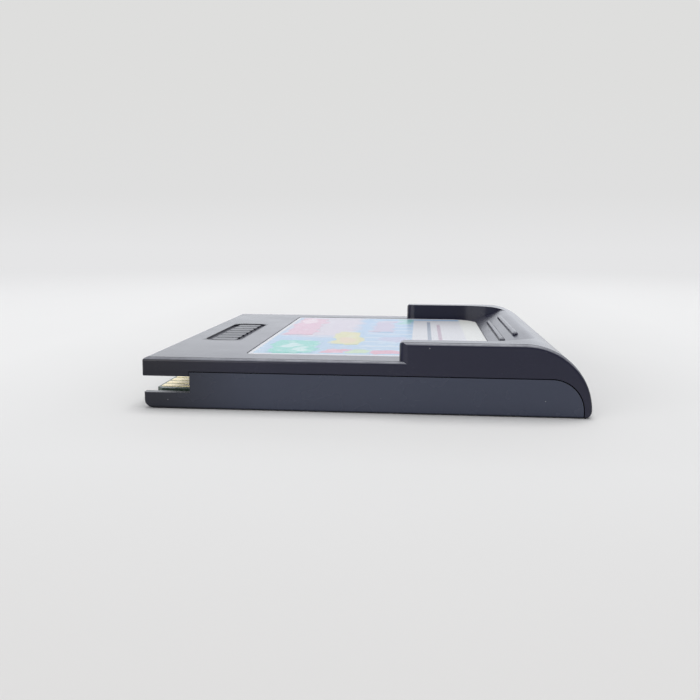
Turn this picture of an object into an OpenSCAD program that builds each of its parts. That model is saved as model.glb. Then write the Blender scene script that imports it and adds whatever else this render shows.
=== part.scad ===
// Handheld-console game cartridge, lying label side up.
// X runs from the connector end (-) to the rolled grip end (+), Y across, Z up from the back face.
// Inside the modules x is measured from the connector end; the whole part is centred at the end.

/* [Casing] */
// Length from the connector end to the grip end
length = 68; // [64:0.5:76]
// Width across the side faces
width = 66.5; // [64:0.5:72]
// Height of the label face above the back face
plate_height = 8; // [7.8:0.1:8.6]
// Height of the two arms and of the grip end
arm_height = 10.9; // [10.4:0.1:12]
// Height of the parting line between the two shells
seam_height = 5.9; // [5.7:0.05:6.2]
// Thickness of the walls at the grip end and inside the arms
wall = 1.15; // [1:0.05:1.3]
// Thickness of the side walls
side_wall = 1.5; // [1.4:0.05:1.6]
// Thickness of the label face
face_wall = 1.5; // [1.2:0.05:1.7]
// Thickness of the back face
floor_wall = 1.2; // [1:0.05:1.3]
// Radius of the long upper edges
edge_radius = 0.6; // [0.3:0.05:0.8]
// Radius of the upper front edge
front_edge_radius = 0.95; // [0.5:0.05:1.2]
// Radius of the long lower edges
back_edge_radius = 0.45; // [0.2:0.05:0.6]
// Radius of the upright corners at the connector end
corner_radius = 0.5; // [0.3:0.05:1]
// Draft of the side faces away from the parting line, in degrees
draft = 1; // [0:0.25:2]

/* [Grip end] */
// Radius of the big roll at the grip end
grip_radius = 10; // [9:0.25:10.5]
// Radius of the small heel at the foot of the roll
heel_radius = 1.4; // [1:0.1:2]
// Distance from the tips of the arms to the grip end
arm_length = 28.55; // [26:0.05:32]
// Width of each arm
arm_width = 3.4; // [3.2:0.1:4]
// Distance from the foot of the thumb scoop to the grip end
scoop_reach = 13.2; // [13:0.1:15]
// Slope of the thumb scoop, in degrees
scoop_angle = 26.5; // [24:0.5:28]
// Radius of the crest between the scoop and the roll
crest_radius = 2; // [1.5:0.25:3]
// Radius of the two inner corners of the scoop, seen from above
scoop_corner = 9.5; // [8:0.5:11]

/* [Grip ribs] */
// Number of ribs across the scoop
rib_count = 2; // [1:1:2]
// Distance up the scoop from its foot to the first rib
rib_first = 1.95; // [1.6:0.05:2]
// Distance between two ribs along the scoop
rib_pitch = 2.4; // [1.8:0.05:2.4]
// Width of a rib
rib_width = 1; // [0.8:0.05:1.1]
// Length of a rib between its rounded ends
rib_length = 28; // [24:0.5:34]

/* [Connector slot] */
// Depth of the slot cut into both sides
slot_depth = 7.45; // [7:0.05:9]
// Height of the lower lip of the slot
slot_floor = 2.55; // [2.5:0.05:2.8]
// Height of the upper lip of the slot
slot_roof = 5.07; // [4.9:0.01:5.15]
// Step that the side of the upper lip makes below the parting line
cheek_step = 0.25; // [0.1:0.05:0.4]
// Distance of the lower lip behind the upper lip
lower_lip_setback = 0.2; // [0:0.05:0.5]
// Radius of the upper lip's lower edge
upper_lip_radius = 0.25; // [0.15:0.05:0.4]
// Radius of the lower front edge
lower_lip_radius = 1.7; // [0.6:0.05:2]

/* [Parting line] */
// Open gap along the parting line
seam_gap = 0.16; // [0.06:0.01:0.16]
// Thickness of the tongue that hangs from the label-side shell
tongue = 0.6; // [0.5:0.05:0.65]
// Thickness of the outer lip of the back shell
rear_lip = 0.72; // [0.6:0.02:0.75]
// Radius of the back shell's side wall where it tucks under the roll
nest_radius = 4.9; // [4.4:0.1:4.9]
// Height of the lip at the grip end of the back shell
end_lip_height = 3; // [2:0.1:3.4]

/* [Raised pads] */
// Distance from the connector end to the shallow recess
recess_start = 4; // [3:0.1:4.5]
// Width of the recess along the cartridge
recess_length = 6.6; // [5:0.1:8]
// Length of the recess across the cartridge
recess_width = 25.5; // [18:0.5:30]
// Depth of the recess
recess_depth = 0.55; // [0.3:0.05:0.6]
// Radius of the corners of the recess
recess_corner = 2.2; // [1:0.1:2.4]
// Number of raised pads
pad_count = 7; // [3:1:9]
// Width of the channel round the pads
pad_margin = 1.1; // [0.8:0.05:1.4]
// Gap between two pads
pad_gap = 0.5; // [0.3:0.05:0.8]
// Radius of the corners of a pad
pad_corner = 0.6; // [0.3:0.05:0.65]
// Height of a pad below the label face
pad_sink = 0.08; // [0:0.01:0.2]

/* [Label] */
// Distance from the connector end to the label
label_start = 15.2; // [13:0.1:18]
// Distance of the label's end before the scoop
label_end_gap = 0.35; // [0.2:0.05:1]
// Distance between the label's sides and the arms
label_side_gap = 2.1; // [0.5:0.05:3.5]
// Thickness of the label
label_thickness = 0.12; // [0.08:0.01:0.2]
// Depth of the label's recess
label_recess = 0.16; // [0.1:0.01:0.2]
// Clearance round the label in its recess
label_clearance = 0.12; // [0.05:0.01:0.3]
// Radius of the label's corners at the connector end
label_corner = 0.8; // [0.3:0.1:2]
// Radius of the label's corners at the scoop
label_far_corner = 6; // [1:0.25:8]
// Thickness of the printed ink
ink = 0.02; // [0.02:0.005:0.03]

/* [Circuit board] */
// Thickness of the board
board_thickness = 1.2; // [1:0.05:1.25]
// Distance from the connector end to the board
board_start = 0.75; // [0.6:0.05:1.5]
// Length of the board
board_length = 39.2; // [38.2:0.2:44]
// Distance between the board's sides and the inside of the walls
board_side_gap = 2.65; // [1.75:0.05:2.95]
// Chamfer of the board's front corners
board_chamfer = 1; // [0.5:0.1:1.5]

/* [Contacts] */
// Number of edge contacts
contact_count = 22; // [10:1:22]
// Distance from the board's side to the first contact
contact_margin = 1.63; // [1.03:0.05:2.63]
// Width of a contact
contact_width = 1.75; // [1.2:0.05:1.8]
// Length of a contact
contact_length = 7.4; // [6:0.1:7.8]
// Distance of the contacts behind the board's front edge
contact_setback = 0.35; // [0.2:0.05:1]
// Thickness of the plated copper
copper = 0.05; // [0.035:0.005:0.08]
// Width of a conductor behind its contact
trace_width = 0.4; // [0.2:0.05:0.6]
// Length of a conductor between its contact and its via
trace_length = 1.9; // [1.6:0.1:2.2]
// Diameter of the via pad at the end of a conductor
via_pad = 0.8; // [0.6:0.05:0.9]

/* [Memory chip] */
// Distance from the connector end to the middle of the memory chip
rom_x = 20.6; // [20.2:0.1:21]
// Length of the memory chip's body across the cartridge
rom_length = 18; // [17.6:0.1:20]
// Width of the memory chip's body
rom_width = 9.4; // [8.8:0.1:9.8]
// Height of the memory chip's body
rom_height = 2.3; // [2:0.1:2.6]
// Number of leads on each side of the memory chip
rom_leads_per_side = 14; // [8:1:14]

/* [Bank chip] */
// Distance across the cartridge from the middle to the bank-switching chip
bank_y = 15; // [13:0.5:17]
// Length of the bank-switching chip's body
bank_length = 7.6; // [7.2:0.1:9]
// Width of the bank-switching chip's body
bank_width = 4; // [3.6:0.1:4.4]
// Height of the bank-switching chip's body
bank_height = 1.6; // [1.3:0.1:2]
// Number of leads on each side of the bank-switching chip
bank_leads_per_side = 5; // [4:1:5]

/* [Leads] */
// Pitch of the chip leads
lead_pitch = 1.27; // [1.1:0.01:1.27]
// Width of a lead
lead_width = 0.42; // [0.3:0.02:0.5]
// Thickness of a lead
lead_thickness = 0.18; // [0.12:0.01:0.22]
// Reach of a lead beyond the chip's body
lead_reach = 1.35; // [1.1:0.05:1.5]
// Length of a lead's foot on the board
lead_foot = 0.6; // [0.4:0.05:0.7]
// Slope of a chip's sides, from its waist to its top
chip_slope = 0.12; // [0.05:0.01:0.25]
// Diameter of the round mark at a chip's first lead
chip_mark = 0.9; // [0.5:0.05:1.2]
// Distance of the mark from the chip's sides
chip_mark_inset = 1.2; // [0.9:0.05:1.6]
// Depth of the mark
chip_mark_depth = 0.1; // [0.05:0.01:0.2]
// Height of a chip's body above the board
chip_standoff = 0.12; // [0.05:0.01:0.2]

/* [Small parts] */
// Number of ceramic capacitors
capacitor_count = 2; // [1:1:3]
// Length of a capacitor
capacitor_length = 3.2; // [2:0.1:3.4]
// Width of a capacitor
capacitor_width = 1.6; // [1.2:0.1:1.8]
// Height of a capacitor
capacitor_height = 1.2; // [0.8:0.1:1.5]
// Length of a soldered end cap
end_cap = 0.45; // [0.3:0.05:0.6]
// Height of the resistor
resistor_height = 0.6; // [0.4:0.05:0.8]
// Distance between two small parts
small_part_pitch = 4; // [3:0.25:4.5]
// Distance across the cartridge from the middle to the first capacitor
small_part_y = 10; // [9:0.5:13]
// Gap between the resistor and the bank-switching chip
small_part_gap = 2.25; // [0.5:0.05:2.6]

/* [Screw and bosses] */
// Distance from the connector end to the screw
screw_x = 32.8; // [32.4:0.1:33.2]
// Diameter of the screw's head
head_diameter = 4.6; // [4.2:0.1:4.8]
// Height of the screw's head
head_height = 1.5; // [1.2:0.1:1.6]
// Diameter of the screw's shank
shank_diameter = 2.1; // [1.8:0.05:2.3]
// Height of the rim under the screw's flutes
head_rim = 0.35; // [0.25:0.05:0.5]
// Length of the screw's shank
shank_length = 4.1; // [3.6:0.1:4.3]
// Room beyond the screw's tip
tip_clearance = 0.6; // [0.2:0.05:0.8]
// Number of flutes round the screw's head
flute_count = 6; // [5:1:7]
// Depth of the screw's recess in the back
counterbore_depth = 2; // [1.9:0.05:2.2]
// Clearance round the head and the shank
screw_clearance = 0.4; // [0.3:0.05:0.5]
// Wall round the screw's recess
boss_wall = 1; // [0.8:0.05:1.2]
// Height at which the two screw bosses meet
boss_joint = 3.4; // [3.3:0.05:3.6]
// Diameter of the label-side screw boss
post_diameter = 5.6; // [5:0.1:6]
// Clearance of the board round a boss or peg
board_clearance = 0.25; // [0.15:0.05:0.35]
// Diameter of the two pegs that locate the board
peg_diameter = 2.4; // [2:0.1:2.8]
// Distance of the pegs from the board's sides
peg_inset = 5.6; // [3:0.1:7]
// Distance of the pegs from the board's end
peg_end_inset = 3.4; // [2.5:0.1:6]
// Height of the pegs above the board
peg_rise = 0.6; // [0.4:0.05:0.8]

/* [Inner ribs] */
// Thickness of the inner ribs
inner_rib = 0.9; // [0.7:0.05:1.1]
// Distance from the connector end to the dust wall behind the contacts
dust_wall_x = 13; // [12.9:0.05:13.3]
// Clearance between the dust wall and the board
hold_clearance = 0.08; // [0.05:0.01:0.15]
// Number of stiffening ribs at the grip end
stiffener_count = 4; // [2:1:5]
// Distance between two stiffening ribs
stiffener_pitch = 13; // [10:0.5:14]
// Distance between the board and the stiffening ribs
stiffener_gap = 4.95; // [0.95:0.1:9]
// Height of the stiffening ribs on the back shell
stiffener_height = 1.2; // [0.8:0.1:1.6]

/* [Hidden] */
$fn = 96;
far = 200;
half_width = width / 2;

// The roll at the grip end turns about a line across the cartridge
grip_x = length - grip_radius;
grip_z = arm_height - grip_radius;
heel_z = heel_radius;
heel_x = grip_x + sqrt(pow(grip_radius - heel_radius, 2) - pow(heel_z - grip_z, 2));
heel_turn = atan2(heel_z - grip_z, heel_x - grip_x);

// The crest touches the scoop's slope and the roll from the inside
scoop_start = length - scoop_reach;
slope_dir = [cos(scoop_angle), sin(scoop_angle)];
slope_up = [-sin(scoop_angle), cos(scoop_angle)];
crest_foot = [scoop_start - grip_x, plate_height - grip_z] - crest_radius * slope_up;
crest_mid = crest_foot * slope_dir;
crest_rest = crest_foot * crest_foot - pow(grip_radius - crest_radius, 2);
crest_run = -crest_mid + sqrt(pow(crest_mid, 2) - crest_rest);
crest = [grip_x, grip_z] + crest_foot + crest_run * slope_dir;
scoop_end = grip_x + grip_radius * (crest[0] - grip_x) / (grip_radius - crest_radius);

// The back shell ends inside the grip wall
nest_x = length - wall - nest_radius;
nest_z = seam_height - nest_radius;
cavity_half = half_width - side_wall;
arm_start = length - arm_length;

board_top = floor_wall + board_thickness;
board_end = board_start + board_length;
board_width = 2 * (cavity_half - board_side_gap);
contact_pitch = (board_width - 2 * contact_margin - contact_width) / (contact_count - 1);
counterbore_diameter = head_diameter + 2 * screw_clearance;
boss_diameter = counterbore_diameter + 2 * boss_wall;
peg_x = board_end - peg_end_inset;
peg_y = board_width / 2 - peg_inset;
resistor_y = bank_y - (bank_length + capacitor_width) / 2 - small_part_gap;
stiffener_start = board_end + stiffener_gap;
stiffener_length = grip_x - stiffener_start;
label_end = scoop_start - label_end_gap;
label_width = width - 2 * (arm_width + label_side_gap);
pad_pitch = (recess_width - 2 * pad_margin + pad_gap) / pad_count;
trace_start = board_start + contact_setback + contact_length;

// Draws a flat outline in the XZ plane and stretches it across the cartridge
module across(span) {
    translate([0, span / 2, 0]) rotate([90, 0, 0]) linear_extrude(span) children();
}

// Draws a flat outline in the YZ plane and stretches it along the cartridge
module along(x_from, x_to) {
    translate([x_from, 0, 0]) rotate([90, 0, 90]) linear_extrude(x_to - x_from) children();
}

// What a round edge takes off the sharp corner (x, y) at the right and top of a flat outline.
// The side below the corner leans inwards by lean degrees.
module round_off(x, y, r, lean = 0) {
    centre = [x - r * (1 - sin(lean)) / cos(lean), y - r];
    difference() {
        polygon([centre, centre + 2 * r * [cos(lean), sin(lean)], [x + r, y + r], [centre[0], y + r]]);
        translate(centre) circle(r);
    }
}

// Rectangle with its own corner radius at each end
module rounded_plate(x_from, x_to, span, r_from, r_to) {
    difference() {
        translate([x_from, -span / 2]) square([x_to - x_from, span]);
        for (side = [0, 1]) mirror([0, side]) {
            round_off(x_to, span / 2, r_to);
            translate([x_from, 0]) mirror([1, 0]) round_off(0, span / 2, r_from);
        }
    }
}

// Half the width of the casing at a height above the parting line
function side_at(z) = half_width - (z - seam_height) * tan(draft);

// Cross-section of the casing, drafted above the parting line, with round upper edges
module face_section(top) {
    top_half = side_at(top);
    difference() {
        polygon([[-half_width, 0], [half_width, 0], [half_width, seam_height], [top_half, top],
            [-top_half, top], [-half_width, seam_height]]);
        for (side = [0, 1]) mirror([side, 0]) round_off(top_half, top, edge_radius, draft);
    }
}

// Cross-section of the back shell, drafted the other way, with round lower edges
module back_section() {
    back_half = half_width - seam_height * tan(draft);
    difference() {
        polygon([[-back_half, 0], [back_half, 0], [half_width, seam_height], [-half_width, seam_height]]);
        for (side = [0, 1]) mirror([side, 0]) mirror([0, 1])
            round_off(back_half, 0, back_edge_radius, draft);
    }
}

// Everything inside the roll of the grip end, thinned from its outside by inset
module roll(inset) {
    intersection() {
        translate([grip_x, 0, grip_z]) rotate([90, 0, 0]) rotate_extrude() intersection() {
            translate([-grip_z, 0]) rotate(-90) face_section(arm_height);
            translate([0, -far / 2]) square([grip_radius - inset, far]);
        }
        translate([grip_x, -far / 2, 0]) cube([far, far, far]);
    }
}

// The sharp foot that the small heel takes off the roll
module heel_cut() {
    touch = [heel_x, heel_z] + heel_radius * [cos(heel_turn), sin(heel_turn)];
    across(far) difference() {
        polygon([[heel_x, -1], [length + 1, -1], [length + 1, touch[1]], touch, [heel_x, heel_z]]);
        translate([heel_x, heel_z]) circle(heel_radius);
    }
}

// Side view of what lies under the label face, the scoop and its crest, lowered by skin
module under_scoop(skin) {
    foot = [scoop_start, plate_height] - skin * slope_up;
    tread = 5 * slope_dir;
    square([length, plate_height - skin]);
    polygon([[foot[0] - tread[0], 0], foot - tread, foot + crest_run * slope_dir, crest, [crest[0], 0]]);
    translate(crest) circle(crest_radius - skin);
    translate([crest[0], 0]) square([length - crest[0], crest[1]]);
}

// The open space between the arms.
// It grows by skin at its sides and by floor_skin below, to leave walls of even thickness.
module pocket(skin, floor_skin) {
    half = half_width - arm_width + skin;
    x_from = arm_start - arm_width;
    x_to = scoop_end + skin;
    difference() {
        linear_extrude(2 * arm_height) difference() {
            translate([x_from, -half]) square([x_to - x_from, 2 * half]);
            for (side = [0, 1]) mirror([0, side]) round_off(x_to, half, scoop_corner + skin);
        }
        across(width) under_scoop(floor_skin);
    }
}

// The label face ahead of the arms, with a round front edge and upright corners
module plate_form() {
    intersection() {
        along(0, arm_start) face_section(plate_height);
        linear_extrude(far) rounded_plate(0, far, width, corner_radius, corner_radius);
        across(far) difference() {
            square([arm_start, plate_height]);
            mirror([1, 0]) round_off(0, plate_height, front_edge_radius);
        }
    }
}

// The two arms, joined by the hump of the grip end
module arm_form() {
    intersection() {
        along(arm_start, grip_x) face_section(arm_height);
        across(far) difference() {
            translate([arm_start, 0]) square([grip_x - arm_start, arm_height]);
            translate([arm_start, 0]) mirror([1, 0]) round_off(0, arm_height, edge_radius);
        }
    }
}

// What is cut away round the tips of the arms, down to the label face and its round edge
module tip_room() {
    tip = arm_width / 2;
    for (side = [0, 1]) mirror([0, side, 0]) intersection() {
        linear_extrude(far) translate([arm_start, half_width - arm_width]) difference() {
            square([tip, 2 * arm_width]);
            translate([tip, tip]) circle(tip);
        }
        along(arm_start, arm_start + tip) union() {
            translate([half_width - arm_width, plate_height]) square([arm_width + 1, arm_height]);
            round_off(side_at(plate_height), plate_height, edge_radius, draft);
        }
    }
}

// Ribs across the scoop, half sunk in its slope
module grip_ribs() {
    for (i = [0 : rib_count - 1]) {
        up = rib_first + i * rib_pitch;
        translate([scoop_start + up * cos(scoop_angle), 0, plate_height + up * sin(scoop_angle)]) {
            rotate([90, 0, 0]) cylinder(h = rib_length - rib_width, d = rib_width, center = true);
            for (side = [-1, 1]) translate([0, side * (rib_length - rib_width) / 2, 0]) sphere(d = rib_width);
        }
    }
}

// Shallow recess with a row of plain raised pads
module pad_recess() {
    recess_end = recess_start + recess_length;
    difference() {
        translate([0, 0, plate_height - recess_depth]) linear_extrude(recess_depth + 1)
            rounded_plate(recess_start, recess_end, recess_width, recess_corner, recess_corner);
        linear_extrude(plate_height - pad_sink) for (i = [0 : pad_count - 1])
            translate([0, (i - (pad_count - 1) / 2) * pad_pitch])
                rounded_plate(recess_start + pad_margin, recess_end - pad_margin, pad_pitch - pad_gap,
                    pad_corner, pad_corner);
    }
}

// Side view of what the back shell fills, with an open seam round it.
// It starts at the height foot.
module nest_outline(gap, foot) {
    translate([lower_lip_setback, foot]) square([nest_x - lower_lip_setback, seam_height - gap - foot]);
    intersection() {
        translate([nest_x, nest_z]) circle(nest_radius - gap);
        translate([nest_x, foot]) square(far);
    }
    translate([nest_x, foot]) square([nest_radius - gap, nest_z - foot]);
}

// What is cut from the label-side shell for the back shell and the slot.
// Its sides reach down to the upper lip over the slot.
module nest_room() {
    across(1.5 * width) {
        difference() {
            union() {
                nest_outline(0, -heel_radius);
                translate([-1, -heel_radius]) square([slot_depth, far]);
            }
            translate([-2, slot_roof]) square([slot_depth - seam_gap + 2, far]);
        }
        translate([0, slot_roof]) mirror([1, 0]) mirror([0, 1]) round_off(0, 0, upper_lip_radius);
    }
}

// Hollow of the label-side shell, inside a share of the walls' thickness
module front_hollow(share) {
    skin = share * wall;
    face_skin = share * face_wall;
    difference() {
        union() {
            translate([skin, -cavity_half, -1])
                cube([grip_x - skin, 2 * cavity_half, plate_height - face_skin + 1]);
            translate([arm_start + skin, -cavity_half, 0])
                cube([grip_x - arm_start - skin, 2 * cavity_half, arm_height - skin]);
            intersection() {
                roll(skin);
                cube([far, 2 * cavity_half, far], center = true);
            }
        }
        pocket(skin, face_skin);
    }
}

// Tongue that hangs inside the back shell's side lips, rooted in the side wall
module tongues() {
    start = slot_depth - tongue;
    root = seam_height + tongue / 2;
    for (side = [0, 1]) mirror([0, side, 0])
        translate([start, cavity_half, slot_roof]) cube([nest_x - start, tongue, root - slot_roof]);
}

// Repeats its children at the start of each stiffening rib
module at_stiffeners() {
    for (i = [0 : stiffener_count - 1])
        translate([stiffener_start, (i - (stiffener_count - 1) / 2) * stiffener_pitch - inner_rib / 2, 0])
            children();
}

// Boss, dust wall and stiffening ribs inside the label-side shell, all rooted in its walls
module front_inner() {
    root = plate_height - face_wall / 2;
    hold = board_top + hold_clearance;
    translate([screw_x, 0, boss_joint]) cylinder(h = root - boss_joint, d = post_diameter);
    translate([dust_wall_x, -board_width / 2, hold]) cube([inner_rib, board_width, root - hold]);
    intersection() {
        front_hollow(0.5);
        at_stiffeners() translate([0, 0, slot_roof])
            cube([stiffener_length + grip_radius / 2, inner_rib, arm_height]);
    }
}

// Outside of the label-side shell, still solid
module front_form() {
    difference() {
        union() {
            plate_form();
            difference() {
                union() {
                    arm_form();
                    roll(0);
                }
                pocket(0, 0);
                tip_room();
            }
        }
        heel_cut();
    }
}

module front_shell() {
    color([0.16, 0.17, 0.2]) difference() {
        union() {
            difference() {
                front_form();
                nest_room();
                front_hollow(1);
            }
            grip_ribs();
            tongues();
            front_inner();
        }
        pad_recess();
        translate([0, 0, plate_height - label_recess]) linear_extrude(1)
            rounded_plate(label_start - label_clearance, label_end + label_clearance,
                label_width + 2 * label_clearance, label_corner, label_far_corner);
        for (side = [0, 1]) mirror([0, side, 0]) translate([-1, half_width - cheek_step, 0])
            cube([slot_depth + 1, 1, seam_height]);
        translate([screw_x, 0, counterbore_depth])
            cylinder(h = shank_length + tip_clearance, d = shank_diameter + screw_clearance / 4);
    }
}

module rear_shell() {
    lip_face = half_width - rear_lip;
    color([0.2, 0.21, 0.25]) difference() {
        union() {
            difference() {
                intersection() {
                    along(0, far) back_section();
                    across(far) difference() {
                        nest_outline(seam_gap, 0);
                        translate([lower_lip_setback, 0]) mirror([1, 0]) mirror([0, 1])
                            round_off(0, 0, lower_lip_radius);
                        translate([-1, slot_floor]) square([slot_depth + 1, far]);
                    }
                    linear_extrude(far)
                        rounded_plate(lower_lip_setback, far, width, corner_radius, corner_radius);
                }
                translate([-1, -cavity_half, floor_wall])
                    cube([length - 2 * wall - 2 * seam_gap, 2 * cavity_half, far]);
                translate([-1, -cavity_half, end_lip_height]) cube([far, 2 * cavity_half, far]);
                translate([-1, -lip_face, slot_roof - seam_gap]) cube([far, 2 * lip_face, far]);
            }
            translate([screw_x, 0, 0]) cylinder(h = boss_joint, d = boss_diameter);
            for (side = [-1, 1]) translate([peg_x, side * peg_y, 0])
                cylinder(h = board_top + peg_rise, d = peg_diameter);
            at_stiffeners() cube([stiffener_length, inner_rib, floor_wall + stiffener_height]);
        }
        translate([screw_x, 0, -1]) cylinder(h = counterbore_depth + 1, d = counterbore_diameter);
        translate([screw_x, 0, 0]) cylinder(h = far, d = shank_diameter + screw_clearance, center = true);
    }
}

// Sheet with plain fields of printed colour; each field is a start, a length, a middle and a span
module label() {
    run = label_end - label_start;
    sheet = label_thickness - ink;
    base = plate_height - label_recess;
    fields = [
        ["mediumaquamarine", 0.06, 0.2, -0.33, 0.26],
        ["pink", 0.04, 0.14, 0.2, 0.5],
        ["khaki", 0.3, 0.12, -0.12, 0.3],
        ["plum", 0.46, 0.1, 0.22, 0.34],
        ["white", 0.66, 0.3, 0, 0.86]];
    color("powderblue") translate([0, 0, base]) linear_extrude(sheet)
        rounded_plate(label_start, label_end, label_width, label_corner, label_far_corner);
    for (f = fields) color(f[0])
        translate([label_start + f[1] * run, (f[3] - f[4] / 2) * label_width, base + sheet])
            cube([f[2] * run, f[4] * label_width, ink]);
}

module circuit_board() {
    hole = boss_diameter + 2 * board_clearance;
    half = board_width / 2;
    shoulder = board_start + board_chamfer;
    color([0.13, 0.33, 0.24]) translate([0, 0, floor_wall]) linear_extrude(board_thickness) difference() {
        polygon([[board_start, board_chamfer - half], [board_start, half - board_chamfer],
            [shoulder, half], [board_end, half], [board_end, -half], [shoulder, -half]]);
        translate([screw_x, 0]) circle(d = hole);
        for (side = [-1, 1]) translate([peg_x, side * peg_y]) circle(d = peg_diameter + 2 * board_clearance);
    }
}

// Repeats its children at each contact's place across the board
module at_contacts() {
    for (i = [0 : contact_count - 1])
        translate([0, (i - (contact_count - 1) / 2) * contact_pitch, 0]) children();
}

module edge_contacts() {
    color([0.85, 0.72, 0.4]) at_contacts()
        translate([board_start + contact_setback, -contact_width / 2, board_top])
            cube([contact_length, contact_width, copper]);
}

module conductors() {
    color([0.2, 0.42, 0.3]) at_contacts() {
        translate([trace_start, -trace_width / 2, board_top]) cube([trace_length, trace_width, copper]);
        translate([trace_start + trace_length, 0, board_top]) cylinder(h = copper, d = via_pad);
    }
}

// Cross-section of a chip body, widest at its waist
module sloping_outline(half, rise) {
    narrow = half - chip_slope;
    polygon([[-narrow, 0], [narrow, 0], [half, rise / 2], [narrow, rise], [-narrow, rise], [-half, rise / 2]]);
}

// Moulded chip body with sloping sides and a round mark at its first lead
module chip_body(body_width, body_length, body_height) {
    half = body_width / 2;
    end = body_length / 2;
    difference() {
        intersection() {
            across(body_length) sloping_outline(half, body_height);
            along(-half, half) sloping_outline(end, body_height);
        }
        translate([chip_mark_inset - half, chip_mark_inset - end, body_height - chip_mark_depth])
            cylinder(h = 1, d = chip_mark);
    }
}

// One bent lead, drawn from the chip's side at its waist down to its foot
module lead(rise) {
    t = lead_thickness;
    knee = (lead_reach - lead_foot) / 2;
    across(lead_width) polygon([[0, rise], [knee, rise], [lead_reach - lead_foot, t],
        [lead_reach, t], [lead_reach, 0], [lead_reach - lead_foot - t / 2, 0], [knee - t / 2, rise - t],
        [0, rise - t]]);
}

module leads(body_width, body_height, per_side) {
    rise = chip_standoff + (body_height + lead_thickness) / 2;
    for (turn = [0, 180], i = [0 : per_side - 1]) rotate([0, 0, turn])
        translate([body_width / 2, (i - (per_side - 1) / 2) * lead_pitch, 0]) lead(rise);
}

module memory_chip() {
    color([0.1, 0.1, 0.11]) translate([rom_x, 0, board_top + chip_standoff])
        chip_body(rom_width, rom_length, rom_height);
}

module memory_chip_leads() {
    color("silver") translate([rom_x, 0, board_top]) leads(rom_width, rom_height, rom_leads_per_side);
}

module bank_chip() {
    color([0.1, 0.1, 0.11]) translate([screw_x, bank_y, board_top + chip_standoff])
        chip_body(bank_width, bank_length, bank_height);
}

module bank_chip_leads() {
    color("silver") translate([screw_x, bank_y, board_top])
        leads(bank_width, bank_height, bank_leads_per_side);
}

// Block between its two end caps, or the caps themselves
module small_part(height, caps) {
    core = capacitor_length - 2 * end_cap;
    translate([0, 0, board_top]) if (caps) {
        for (side = [-1, 1]) translate([side * (core + end_cap) / 2, 0, height / 2])
            cube([end_cap, capacitor_width, height], center = true);
    } else {
        translate([0, 0, height / 2]) cube([core, capacitor_width, height], center = true);
    }
}

module at_capacitors() {
    for (i = [0 : capacitor_count - 1])
        translate([screw_x, -small_part_y - i * small_part_pitch, 0]) children();
}

module at_resistor() {
    translate([screw_x, resistor_y, 0]) children();
}

module capacitors() {
    color([0.75, 0.62, 0.45]) at_capacitors() small_part(capacitor_height, false);
}

module capacitor_caps() {
    color("silver") at_capacitors() small_part(capacitor_height, true);
}

module resistor() {
    color([0.12, 0.12, 0.14]) at_resistor() small_part(resistor_height, false);
}

module resistor_caps() {
    color("silver") at_resistor() small_part(resistor_height, true);
}

// Screw with flutes round its head, driven in from the back
module case_screw() {
    color("lightgray") translate([screw_x, 0, counterbore_depth]) {
        cylinder(h = shank_length, d = shank_diameter);
        translate([0, 0, -head_rim]) cylinder(h = head_rim, d = head_diameter);
        translate([0, 0, -head_height]) difference() {
            cylinder(h = head_height - head_rim, d = head_diameter);
            for (i = [0 : flute_count - 1]) rotate([0, 0, i * 360 / flute_count])
                translate([head_diameter / 2, 0, 0]) cylinder(h = far, d = head_diameter / 4, center = true);
        }
    }
}

// Moves a piece from its place along the cartridge to the centred frame
module seated() {
    translate([-length / 2, 0, 0]) children();
}

seated() front_shell();
seated() rear_shell();
seated() label();
seated() circuit_board();
seated() edge_contacts();
seated() conductors();
seated() memory_chip();
seated() memory_chip_leads();
seated() bank_chip();
seated() bank_chip_leads();
seated() capacitors();
seated() capacitor_caps();
seated() resistor();
seated() resistor_caps();
seated() case_screw();
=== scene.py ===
import math
import bpy
import numpy as np
from mathutils import Matrix, Vector

# A handheld-console game cartridge, label side up on a pale sweep.
# X runs from the connector end (-) to the grip end (+), Y across, Z up from the back face, in metres.
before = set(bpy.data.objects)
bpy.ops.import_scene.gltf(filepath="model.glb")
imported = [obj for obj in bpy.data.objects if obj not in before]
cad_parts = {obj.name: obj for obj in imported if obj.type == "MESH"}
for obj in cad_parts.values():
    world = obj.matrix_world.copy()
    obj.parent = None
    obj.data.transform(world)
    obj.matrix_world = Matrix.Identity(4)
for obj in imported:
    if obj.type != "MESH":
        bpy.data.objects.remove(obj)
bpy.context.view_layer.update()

MM = 0.001
HALF_LENGTH = 34 * MM
FACE_HEIGHT = 8 * MM
RECESS_MIDDLE = (-26.7 * MM, 0.0, 0.0)
RECESS_HALF_SIZES = (3.5 * MM, 12.9 * MM, 1.0)
LABEL_START = -18.8 * MM
LABEL_LENGTH = 39.25 * MM
LABEL_WIDTH = 55.5 * MM


def colour(red, green, blue):
    """A screen colour, each channel 0 to 255, as the linear colour that a socket takes."""
    parts = [c / 255 for c in (red, green, blue)]
    return (*[p / 12.92 if p <= 0.04045 else ((p + 0.055) / 1.055) ** 2.4 for p in parts], 1.0)


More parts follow.
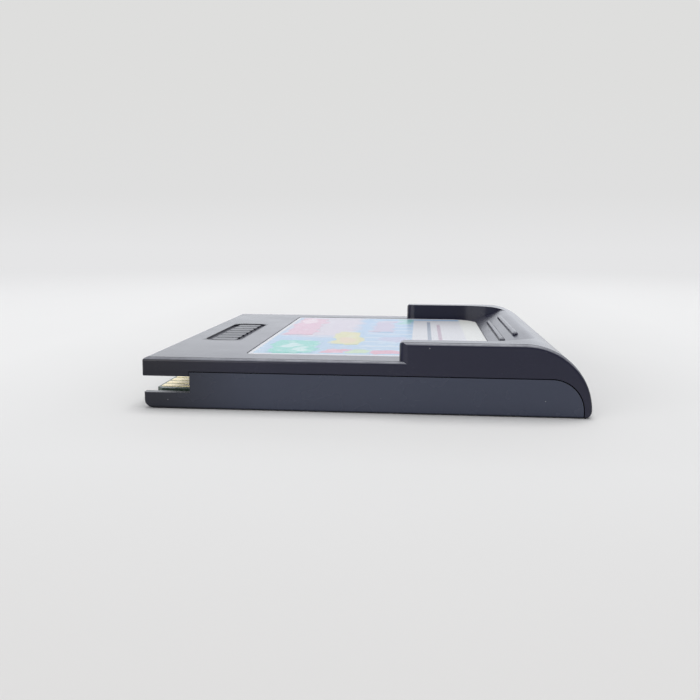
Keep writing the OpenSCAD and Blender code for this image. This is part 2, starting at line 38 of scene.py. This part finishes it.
class Wiring:
    """Puts nodes in one shader tree and joins their sockets."""

    def __init__(self, tree):
        self.tree = tree

    def join(self, value, socket):
        if isinstance(value, bpy.types.NodeSocket):
            self.tree.links.new(value, socket)
        else:
            socket.default_value = value

    def node(self, kind, inputs=None, **settings):
        made = self.tree.nodes.new("ShaderNode" + kind)
        for name, value in settings.items():
            setattr(made, name, value)
        for key, value in (inputs or {}).items():
            self.join(value, made.inputs[key])
        return made

    def calc(self, operation, first, second=0.0, third=0.0, clamp=False):
        return self.node("Math", {0: first, 1: second, 2: third}, operation=operation, use_clamp=clamp).outputs[0]

    def span(self, value, low, high, to_low=0.0, to_high=1.0, soft=False):
        return self.node("MapRange", {"Value": value, "From Min": low, "From Max": high, "To Min": to_low,
                                      "To Max": to_high}, clamp=True,
                         interpolation_type="SMOOTHSTEP" if soft else "LINEAR").outputs["Result"]

    def mix(self, share, first, second, way="MIX"):
        made = self.node("Mix", data_type="RGBA", blend_type=way)
        for index, value in ((0, share), (6, first), (7, second)):
            self.join(value, made.inputs[index])
        return made.outputs[2]

    def noise(self, place, scale, detail=2.0, roughness=0.5, stretch=None):
        if stretch:
            place = self.node("Mapping", {"Vector": place, "Scale": stretch}).outputs[0]
        return self.node("TexNoise", {"Vector": place, "Scale": scale, "Detail": detail,
                                      "Roughness": roughness}).outputs["Fac"]

    def group(self, tree, inputs):
        made = self.node("Group")
        made.node_tree = tree
        for key, value in inputs.items():
            self.join(value, made.inputs[key])
        return made.outputs


def effect(name, inputs, outputs):
    """Opens a shader group: its wiring, its inputs as sockets and its outputs to join."""
    tree = bpy.data.node_groups.new(name, "ShaderNodeTree")
    for label, kind, value in inputs:
        socket = tree.interface.new_socket(name=label, in_out="INPUT", socket_type="NodeSocket" + kind)
        if value is not None:
            socket.default_value = value
    for label, kind in outputs:
        tree.interface.new_socket(name=label, in_out="OUTPUT", socket_type="NodeSocket" + kind)
    return Wiring(tree), tree.nodes.new("NodeGroupInput").outputs, tree.nodes.new("NodeGroupOutput").inputs


def spark_grain():
    """Even fine pits of a spark-eroded mould, with slow unevenness of tone: two noises, fine and coarse."""
    w, given, out = effect("spark_grain", [("Place", "Vector", None), ("Pits per metre", "Float", 7000.0)],
                           [("Height", "Float"), ("Mottle", "Float")])
    fine = w.noise(given["Place"], given["Pits per metre"], 3.0, 0.6)
    w.join(fine, out["Height"])
    w.join(w.noise(given["Place"], w.calc("DIVIDE", given["Pits per metre"], 60.0), 4.0, 0.55), out["Mottle"])
    return w.tree


def handling_marks():
    """Hairline scratches and specks of dust: thin level lines of stretched noises, and rare cells of a
    Voronoi pattern."""
    w, given, out = effect("handling_marks", [("Place", "Vector", None), ("Amount", "Float", 0.5)],
                           [("Scratches", "Float"), ("Dust", "Float")])
    lines = []
    for turn, seed in ((0.12, 3.0), (-0.5, 11.0), (1.35, 27.0)):
        turned = w.node("Mapping", {"Vector": given["Place"], "Rotation": (0.0, 0.0, turn),
                                    "Location": (seed, seed, 0.0)}).outputs[0]
        long_noise = w.noise(turned, 1.0, 1.0, 0.4, (70.0, 1500.0, 1500.0))
        patch = w.noise(turned, 120.0, 1.0)
        near = w.calc("ABSOLUTE", w.calc("SUBTRACT", long_noise, 0.5))
        lines.append(w.calc("MULTIPLY", w.span(near, 0.004, 0.0), w.span(patch, 0.5, 0.8, soft=True)))
    every = w.calc("MAXIMUM", w.calc("MAXIMUM", lines[0], lines[1]), lines[2])
    w.join(w.calc("MULTIPLY", every, given["Amount"]), out["Scratches"])
    cells = w.node("TexVoronoi", {"Vector": given["Place"], "Scale": 700.0})
    rare = w.node("SeparateColor", {0: cells.outputs["Color"]}).outputs[0]
    speck = w.calc("MULTIPLY", w.span(cells.outputs["Distance"], 0.07, 0.03), w.span(rare, 0.9, 0.92))
    w.join(w.calc("MULTIPLY", speck, given["Amount"]), out["Dust"])
    return w.tree


def field_mask():
    """Mask of a rectangle or oval about its middle, with a soft edge. The distance is the larger side's or
    the oval's, over the half sizes."""
    w, given, out = effect("field_mask", [("Place", "Vector", None), ("Middle", "Vector", (0.0, 0.0, 0.0)),
                                          ("Half sizes", "Vector", (1.0, 1.0, 1.0)),
                                          ("Round", "Float", 0.0), ("Edge", "Float", 0.02)],
                           [("Mask", "Float")])
    moved = w.node("VectorMath", {0: given["Place"], 1: given["Middle"]}, operation="SUBTRACT").outputs[0]
    shares = w.node("VectorMath", {0: moved, 1: given["Half sizes"]}, operation="DIVIDE").outputs[0]
    parts = w.node("SeparateXYZ", {0: shares}).outputs
    square = w.calc("MAXIMUM", w.calc("ABSOLUTE", parts[0]), w.calc("ABSOLUTE", parts[1]))
    squares = w.calc("ADD", w.calc("MULTIPLY", parts[0], parts[0]), w.calc("MULTIPLY", parts[1], parts[1]))
    oval = w.calc("SQRT", squares)
    far = w.calc("ADD", w.calc("MULTIPLY", oval, given["Round"]),
                 w.calc("MULTIPLY", square, w.calc("SUBTRACT", 1.0, given["Round"])))
    w.join(w.node("MapRange", {"Value": far, "From Min": w.calc("ADD", given["Edge"], 1.0), "From Max": 1.0,
                               "To Min": 0.0, "To Max": 1.0}, clamp=True).outputs["Result"], out["Mask"])
    return w.tree


SPARK_GRAIN = spark_grain()
HANDLING_MARKS = handling_marks()
FIELD_MASK = field_mask()


def finish_of(slot):
    """A new material for a slot: its wiring, its Principled shader and the place on the object."""
    made = bpy.data.materials.new(slot)
    made.use_nodes = True
    made.node_tree.nodes.clear()
    w = Wiring(made.node_tree)
    shader = w.node("BsdfPrincipled")
    w.node("OutputMaterial", {"Surface": shader.outputs[0]})
    return made, w, shader, w.node("TexCoord").outputs["Object"]


def bump(w, shader, height, strength, distance):
    w.join(w.node("Bump", {"Height": height, "Strength": strength, "Distance": distance}).outputs[0],
           shader.inputs["Normal"])


def casing_plastic(slot, body, pale, rough, wear_highlight_and_dust):
    """Satin charcoal moulding with fine pits, faint mottling, hairlines and a little dust.
    - It is darker towards the connector end, which is painted shade, and along the foot, which is a painted contact
      shadow.
    - Its long round edges are pale, partly from rubbing and partly as a painted highlight: those are where the
      surface faces both sideways and up.
    - Dust has settled round the pads of the recess, whose mask is an upright box from the face down."""
    made, w, shader, place = finish_of(slot)
    grain = w.group(SPARK_GRAIN, {"Place": place, "Pits per metre": 6500.0})
    marks = w.group(HANDLING_MARKS, {"Place": place, "Amount": 0.6})
    along, _, height = w.node("SeparateXYZ", {0: place}).outputs
    facing = w.node("SeparateXYZ", {0: w.node("NewGeometry").outputs["Normal"]}).outputs
    lip = w.span(along, 1 * MM - HALF_LENGTH, -HALF_LENGTH)
    ahead = w.calc("MULTIPLY", w.calc("MULTIPLY", facing[0], -1.0), lip)
    sideways = w.span(w.calc("MAXIMUM", w.calc("ABSOLUTE", facing[1]), ahead), 0.2, 0.4)
    upwards = w.calc("MULTIPLY", w.span(facing[2], 0.35, 0.55), w.span(facing[2], 0.98, 0.9))
    patchy = w.span(w.noise(place, 420.0, 5.0, 0.7), 0.3, 0.7, 0.6, 1.0)
    # Pale edges: partly worn plastic, partly a painted highlight where the round edges face sideways and up.
    wear_and_painted_highlight = w.calc("MULTIPLY", w.calc("MULTIPLY", sideways, upwards), w.calc("MULTIPLY", patchy, wear_highlight_and_dust))
    blend = w.calc("MULTIPLY", w.calc("ADD", grain["Mottle"], grain["Height"]), 0.5)
    tone = w.mix(w.span(blend, 0.3, 0.7), colour(*body), colour(*pale))
    # Painted shade: the casing is darkened over the first 20 mm from the connector end.
    painted_shade_at_connector = w.span(along, -HALF_LENGTH, 20 * MM - HALF_LENGTH, 0.8, 0.0, soft=True)
    tone = w.mix(painted_shade_at_connector, tone, colour(14, 14, 22))
    # Painted contact shadow: a near-black band along the lowest 0.4 mm of the sides.
    foot = w.span(height, 0.4 * MM, 0.15 * MM, 0.0, 0.85)
    tone = w.mix(foot, tone, colour(6, 6, 9))
    tone = w.mix(wear_and_painted_highlight, tone, colour(168, 170, 178))
    field = w.group(FIELD_MASK, {"Place": place, "Middle": RECESS_MIDDLE, "Half sizes": RECESS_HALF_SIZES})
    inside = w.calc("MULTIPLY", field["Mask"], w.span(height, FACE_HEIGHT - 1 * MM, FACE_HEIGHT - 0.9 * MM))
    channel = w.calc("MULTIPLY", inside, w.span(height, FACE_HEIGHT - 0.3 * MM, FACE_HEIGHT - 0.4 * MM))
    settled = w.calc("MULTIPLY", channel, w.calc("MULTIPLY", patchy, wear_highlight_and_dust))
    tone = w.mix(settled, tone, colour(168, 169, 178))
    tone = w.mix(w.calc("MULTIPLY", marks["Scratches"], 0.4), tone, colour(110, 112, 122))
    tone = w.mix(marks["Dust"], tone, colour(170, 170, 172))
    w.join(tone, shader.inputs["Base Color"])
    uneven = w.span(grain["Mottle"], 0.3, 0.7, rough, rough + 0.04)
    uneven = w.calc("ADD", uneven, w.calc("MULTIPLY", inside, 0.08))
    w.join(w.calc("ADD", uneven, w.calc("MULTIPLY", marks["Dust"], 0.4)), shader.inputs["Roughness"])
    shader.inputs["IOR"].default_value = 1.39
    bump(w, shader, w.calc("SUBTRACT", grain["Height"], w.calc("MULTIPLY", marks["Scratches"], 0.3)), 0.3, 0.003 * MM)
    return made


def label_print():
    """Coated paper with a plain print inside a white border, under a thin gloss: broad pale fields, bands,
    bars, dots and ovals. Each shape is its middle and half sizes in shares of the label, a roundness, the
    softness of its edge and a colour. The painted shapes have wandering edges, the ruled ones straight."""
    made, w, shader, place = finish_of("label_paper")
    scaled = w.node("Mapping", {"Vector": place, "Location": (-LABEL_START / LABEL_LENGTH, 0.0, 0.0),
                                "Scale": (1 / LABEL_LENGTH, 1 / LABEL_WIDTH, 1 / LABEL_WIDTH)}).outputs[0]
    spot = w.node("SeparateXYZ", {0: scaled}).outputs
    tone = w.mix(w.span(spot[1], -0.5, 0.5), colour(174, 203, 226), colour(160, 196, 230))
    bands = w.span(w.calc("PINGPONG", spot[1], 0.05), 0.014, 0.01)
    tone = w.mix(w.calc("MULTIPLY", bands, w.span(spot[0], 0.42, 0.45, 0.0, 0.5)), tone, colour(228, 232, 238))
    sway = w.node("TexNoise", {"Vector": place, "Scale": 260.0, "Detail": 3.0}).outputs["Color"]
    sway = w.node("VectorMath", {0: sway, 1: (0.5, 0.5, 0.5)}, operation="SUBTRACT").outputs[0]
    sway = w.node("VectorMath", {0: sway, "Scale": 0.12}, operation="SCALE").outputs[0]
    loose = w.node("VectorMath", {0: scaled, 1: sway}, operation="ADD").outputs[0]
    painted = [
        ((0.2, 0.24), (0.16, 0.3), 0.4, 0.3, (214, 204, 214)),
        ((0.11, 0.2), (0.07, 0.25), 0.0, 0.04, (226, 180, 198)),
        ((0.16, -0.33), (0.1, 0.13), 0.0, 0.04, (118, 212, 196)),
        ((0.14, -0.3), (0.03, 0.05), 1.0, 0.2, (196, 230, 226)),
        ((0.2, -0.38), (0.025, 0.04), 1.0, 0.2, (196, 232, 226)),
        ((0.09, 0.34), (0.04, 0.07), 1.0, 0.2, (240, 214, 222)),
        ((0.36, -0.12), (0.06, 0.15), 0.0, 0.04, (222, 218, 156)),
        ((0.36, -0.17), (0.03, 0.06), 1.0, 0.15, (232, 208, 168)),
        ((0.51, 0.22), (0.05, 0.17), 0.0, 0.04, (196, 186, 210)),
        ((0.58, -0.14), (0.07, 0.05), 1.0, 0.3, (186, 190, 218)),
        ((0.34, -0.42), (0.045, 0.035), 0.0, 0.05, (224, 160, 178)),
        ((0.44, -0.42), (0.045, 0.035), 0.0, 0.05, (190, 216, 170)),
        ((0.56, -0.42), (0.06, 0.035), 0.0, 0.05, (222, 156, 176)),
        ((0.62, 0.4), (0.035, 0.09), 0.0, 0.1, (150, 206, 204)),
    ]
    ruled = [
        ((0.81, 0.0), (0.15, 0.43), 0.0, 0.02, (228, 227, 229)),
        ((0.74, 0.05), (0.008, 0.3), 0.0, 0.2, (150, 160, 176)),
        ((0.79, 0.05), (0.008, 0.22), 0.0, 0.2, (196, 170, 184)),
        ((0.965, 0.0), (0.055, 0.5), 0.0, 0.02, (240, 240, 232)),
    ]
    for layer, shapes in ((loose, painted), (scaled, ruled)):
        for middle, half, roundness, soft, tint in shapes:
            mask = w.group(FIELD_MASK, {"Place": layer, "Middle": (*middle, 0.0), "Half sizes": (*half, 1.0),
                                        "Round": roundness, "Edge": soft})["Mask"]
            tone = w.mix(mask, tone, colour(*tint))
    cells = w.node("TexVoronoi", {"Vector": place, "Scale": 380.0, "Randomness": 0.8})
    flecks = w.calc("MULTIPLY", w.span(cells.outputs["Distance"], 0.3, 0.24), w.span(spot[0], 0.66, 0.65, 0.0, 0.28))
    tone = w.mix(flecks, tone, colour(238, 240, 242))
    side = w.span(w.calc("ABSOLUTE", spot[1]), 0.476, 0.478)
    end = w.span(spot[0], 0.018, 0.016)
    tone = w.mix(w.calc("MAXIMUM", side, end), tone, colour(226, 226, 228))
    grain = w.noise(place, 9000.0, 2.0)
    w.join(w.mix(w.span(grain, 0.3, 0.7, 0.2, 0.26), tone, colour(50, 84, 120)), shader.inputs["Base Color"])
    w.join(w.span(grain, 0.3, 0.7, 0.26, 0.32), shader.inputs["Roughness"])
    shader.inputs["IOR"].default_value = 1.45
    bump(w, shader, grain, 0.2, 0.002 * MM)
    return made


def board_laminate():
    """Green solder mask over a glass weave, with its cut edges painted a dark grey-green as shade."""
    made, w, shader, place = finish_of("board_laminate")
    weave = w.node("TexWave", {"Vector": place, "Scale": 300.0, "Distortion": 0.4}, bands_direction="X")
    cross = w.node("TexWave", {"Vector": place, "Scale": 300.0, "Distortion": 0.4}, bands_direction="Y")
    cloth = w.calc("MULTIPLY", weave.outputs["Fac"], cross.outputs["Fac"])
    face = w.mix(cloth, colour(28, 92, 62), colour(36, 110, 74))
    level = w.node("SeparateXYZ", {0: w.node("NewGeometry").outputs["Normal"]}).outputs[2]
    # Painted shade: faces that are not level, the cut edges, take a dark grey-green.
    edge = w.span(w.calc("ABSOLUTE", level), 0.6, 0.4)
    w.join(w.mix(edge, face, colour(60, 76, 66)), shader.inputs["Base Color"])
    w.join(w.span(cloth, 0.0, 1.0, 0.26, 0.34), shader.inputs["Roughness"])
    shader.inputs["IOR"].default_value = 1.35
    bump(w, shader, cloth, 0.2, 0.004 * MM)
    return made


def plated(slot, tint, dull, rough):
    """Plated or tinned metal, drawn along X, with duller patches."""
    made, w, shader, place = finish_of(slot)
    drawn = w.noise(place, 1.0, 3.0, 0.6, (400.0, 12000.0, 4000.0))
    patch = w.noise(place, 900.0, 3.0)
    w.join(w.mix(w.span(patch, 0.4, 0.7), colour(*tint), colour(*dull)), shader.inputs["Base Color"])
    shader.inputs["Metallic"].default_value = 1.0
    w.join(w.span(drawn, 0.3, 0.7, rough, rough + 0.14), shader.inputs["Roughness"])
    bump(w, shader, drawn, 0.12, 0.003 * MM)
    return made


def masked_copper():
    made, w, shader, place = finish_of("masked_copper")
    patch = w.noise(place, 1500.0, 3.0)
    w.join(w.mix(patch, colour(52, 128, 86), colour(64, 144, 98)), shader.inputs["Base Color"])
    w.join(w.span(patch, 0.3, 0.7, 0.26, 0.36), shader.inputs["Roughness"])
    bump(w, shader, patch, 0.15, 0.004 * MM)
    return made


def moulded_resin(slot, body, pale, rough, pits):
    made, w, shader, place = finish_of(slot)
    grain = w.group(SPARK_GRAIN, {"Place": place, "Pits per metre": pits})
    w.join(w.mix(grain["Mottle"], colour(*body), colour(*pale)), shader.inputs["Base Color"])
    w.join(w.span(grain["Height"], 0.3, 0.7, rough, rough + 0.12), shader.inputs["Roughness"])
    bump(w, shader, grain["Height"], 0.3, 0.02 * MM)
    return made


FINISHES = {
    "casing_front": casing_plastic("casing_front", (30, 31, 49), (33, 34, 52), 0.19, 0.75),
    "casing_back": casing_plastic("casing_back", (56, 61, 77), (59, 64, 80), 0.25, 0.4),
    "label_paper": label_print(),
    "board_laminate": board_laminate(),
    "gold_plating": plated("gold_plating", (244, 228, 178), (232, 212, 158), 0.2),
    "masked_copper": masked_copper(),
    "chip_resin": moulded_resin("chip_resin", (26, 26, 28), (36, 36, 38), 0.5, 9000.0),
    "tinned_leads": plated("tinned_leads", (206, 206, 208), (178, 180, 184), 0.3),
    "ceramic_body": moulded_resin("ceramic_body", (182, 146, 104), (200, 166, 122), 0.35, 9000.0),
    "solder_caps": plated("solder_caps", (198, 200, 204), (170, 172, 178), 0.28),
    "resistor_body": moulded_resin("resistor_body", (24, 26, 34), (34, 36, 46), 0.3, 9000.0),
    "screw_steel": plated("screw_steel", (190, 190, 194), (150, 150, 156), 0.3),
}

NODE_SLOTS = {
    "front_shell": "casing_front", "rear_shell": "casing_back", "label": "label_paper",
    "circuit_board": "board_laminate", "edge_contacts": "gold_plating", "conductors": "masked_copper",
    "memory_chip": "chip_resin", "memory_chip_leads": "tinned_leads", "bank_chip": "chip_resin",
    "bank_chip_leads": "tinned_leads", "capacitors": "ceramic_body", "capacitor_caps": "solder_caps",
    "resistor": "resistor_body", "resistor_caps": "solder_caps", "case_screw": "screw_steel",
}
for node, slot in NODE_SLOTS.items():
    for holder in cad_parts[node].material_slots:
        holder.material = FINISHES[slot]


def surface(name, points, finish):
    """A mesh of the grid points[i, j] = (x, y, z), joined in quads between neighbours."""
    rows, columns = points.shape[:2]
    first = (np.arange(rows - 1)[:, None] * columns + np.arange(columns - 1)).ravel()
    quads = np.stack([first, first + columns, first + columns + 1, first + 1], axis=1)
    mesh = bpy.data.meshes.new(name)
    mesh.from_pydata(points.reshape(-1, 3).tolist(), [], quads.tolist())
    mesh.polygons.foreach_set("use_smooth", np.ones(len(quads), bool))
    made = bpy.data.objects.new(name, mesh)
    bpy.context.scene.collection.objects.link(made)
    mesh.materials.append(finish)
    return made


def pale_sweep():
    """Floor that turns up into a backdrop: a flat run, a quarter circle and a wall, carried along X.
    Near the cartridge it is pale paper that takes the shadow. Farther off it glows like a lit backdrop, in a
    grey that falls with height on the wall."""
    near, foot, bend, top = -2.0, 1.3, 0.05, 0.75
    turn = np.linspace(0.0, math.pi / 2, 25)
    y = np.concatenate([np.linspace(near, foot, 30), foot + bend * np.sin(turn[1:]), [foot + bend]])
    z = np.concatenate([np.zeros(30), bend * (1 - np.cos(turn[1:])), [top]])
    x = np.linspace(-2.4, 2.4, 9)
    points = np.stack(np.broadcast_arrays(x[:, None], y[None, :], z[None, :]), axis=-1)
    made = bpy.data.materials.new("sweep_paper")
    made.use_nodes = True
    made.node_tree.nodes.clear()
    w = Wiring(made.node_tree)
    place = w.node("TexCoord").outputs["Object"]
    spot = w.node("SeparateXYZ", {0: place}).outputs
    fibre = w.span(w.noise(place, 40.0, 3.0), 0.3, 0.7, 0.995, 1.0)
    # Painted shade on the paper: darker through the middle strip, where the cartridge stands, and toward the camera.
    paper_with_painted_shade = w.mix(w.span(w.calc("ABSOLUTE", spot[0]), 0.045, 0.08), colour(233, 233, 232), colour(238, 238, 237))
    front = w.mix(w.span(spot[1], -0.11, -0.06), colour(225, 224, 222), paper_with_painted_shade)
    paper = w.node("BsdfPrincipled", {"Roughness": 0.9, "Specular IOR Level": 0.1,
                                      "Base Color": w.mix(1.0, front, fibre, "MULTIPLY")})
    rise = w.span(spot[2], 0.0, 0.1)
    far = w.mix(w.span(spot[2], 0.1, 0.3), w.mix(rise, colour(229, 229, 230), colour(223, 223, 223)),
                colour(222, 222, 221))
    direct = w.node("LightPath").outputs["Is Camera Ray"]
    glow = w.node("Emission", {"Color": w.mix(direct, colour(222, 225, 231), far),
                               "Strength": w.span(direct, 0.0, 1.0, 1.65, 1.0)})
    away = w.span(w.node("VectorMath", {0: place}, operation="LENGTH").outputs["Value"], 0.15, 0.5, soft=True)
    shown = w.node("MixShader", {0: away, 1: paper.outputs[0], 2: glow.outputs[0]})
    w.node("OutputMaterial", {"Surface": shown.outputs[0]})
    sweep = surface("pale_sweep", points, made)


def soft_lamp(name, width, depth, energy, placing):
    """A rectangular lamp that shines down its own Z axis."""
    lamp = bpy.data.lights.new(name, "AREA")
    lamp.shape, lamp.size, lamp.size_y, lamp.energy = "RECTANGLE", width, depth, energy
    made = bpy.data.objects.new(name, lamp)
    made.matrix_world = placing
    bpy.context.scene.collection.objects.link(made)


def studio_light():
    """Even surroundings, darker in front and above a low height, shown as plain pale grey to the camera. One
    soft lamp hangs overhead and a fainter one stands at the front left, aimed at the cartridge."""
    world = bpy.data.worlds.new("studio")
    bpy.context.scene.world = world
    world.use_nodes = True
    world.node_tree.nodes.clear()
    w = Wiring(world.node_tree)
    way = w.node("SeparateXYZ", {0: w.node("TexCoord").outputs["Generated"]}).outputs
    front_wall, back_wall, upper_band = (0.42, 0.42, 0.44, 1.0), (0.66, 0.66, 0.67, 1.0), (0.28, 0.28, 0.29, 1.0)
    walls = w.mix(w.span(way[1], -0.6, 0.3, soft=True), front_wall, back_wall)
    banded = w.calc("SUBTRACT", w.span(way[2], 0.3, 0.45, soft=True), w.span(way[2], 0.65, 0.8, soft=True))
    tone = w.mix(banded, walls, upper_band)
    tone = w.mix(w.node("LightPath").outputs["Is Camera Ray"], tone, colour(223, 223, 222))
    sky = w.node("Background", {"Color": tone, "Strength": 1.0})
    w.node("OutputWorld", {"Surface": sky.outputs[0]})
    soft_lamp("overhead_lamp", 0.6, 0.7, 4.4, Matrix.Translation((0.05, 0.2, 0.9)))
    stand = Vector((-0.58, -0.74, 0.2))
    aim = stand.to_track_quat("Z", "Y").to_matrix().to_4x4()
    soft_lamp("front_lamp", 1.0, 0.4, 4.2, Matrix.Translation(stand) @ aim)


def place_camera():
    """Camera where the photograph was taken: its place, its heading, tilt and roll in radians, and its lens."""
    place = Vector((8.5366, -148.3356, 26.8153)) * MM
    heading, tilt, roll = -0.0902, 0.1473, 0.005
    ahead = Vector((math.sin(heading) * math.cos(tilt), math.cos(heading) * math.cos(tilt), -math.sin(tilt)))
    right = Vector((math.cos(heading), -math.sin(heading), 0.0))
    above = right.cross(ahead)
    across = right * math.cos(roll) + above * math.sin(roll)
    upward = above * math.cos(roll) - right * math.sin(roll)
    lens = bpy.data.cameras.new("camera")
    lens.sensor_width, lens.lens = 36.0, 40.252
    lens.clip_start, lens.clip_end = 0.005, 20.0
    camera = bpy.data.objects.new("camera", lens)
    turn = Matrix((across, upward, -ahead)).transposed()
    camera.matrix_world = Matrix.Translation(place) @ turn.to_4x4()
    bpy.context.scene.collection.objects.link(camera)
    bpy.context.scene.camera = camera


pale_sweep()
studio_light()
place_camera()
bpy.context.scene.view_settings.view_transform = "Standard"
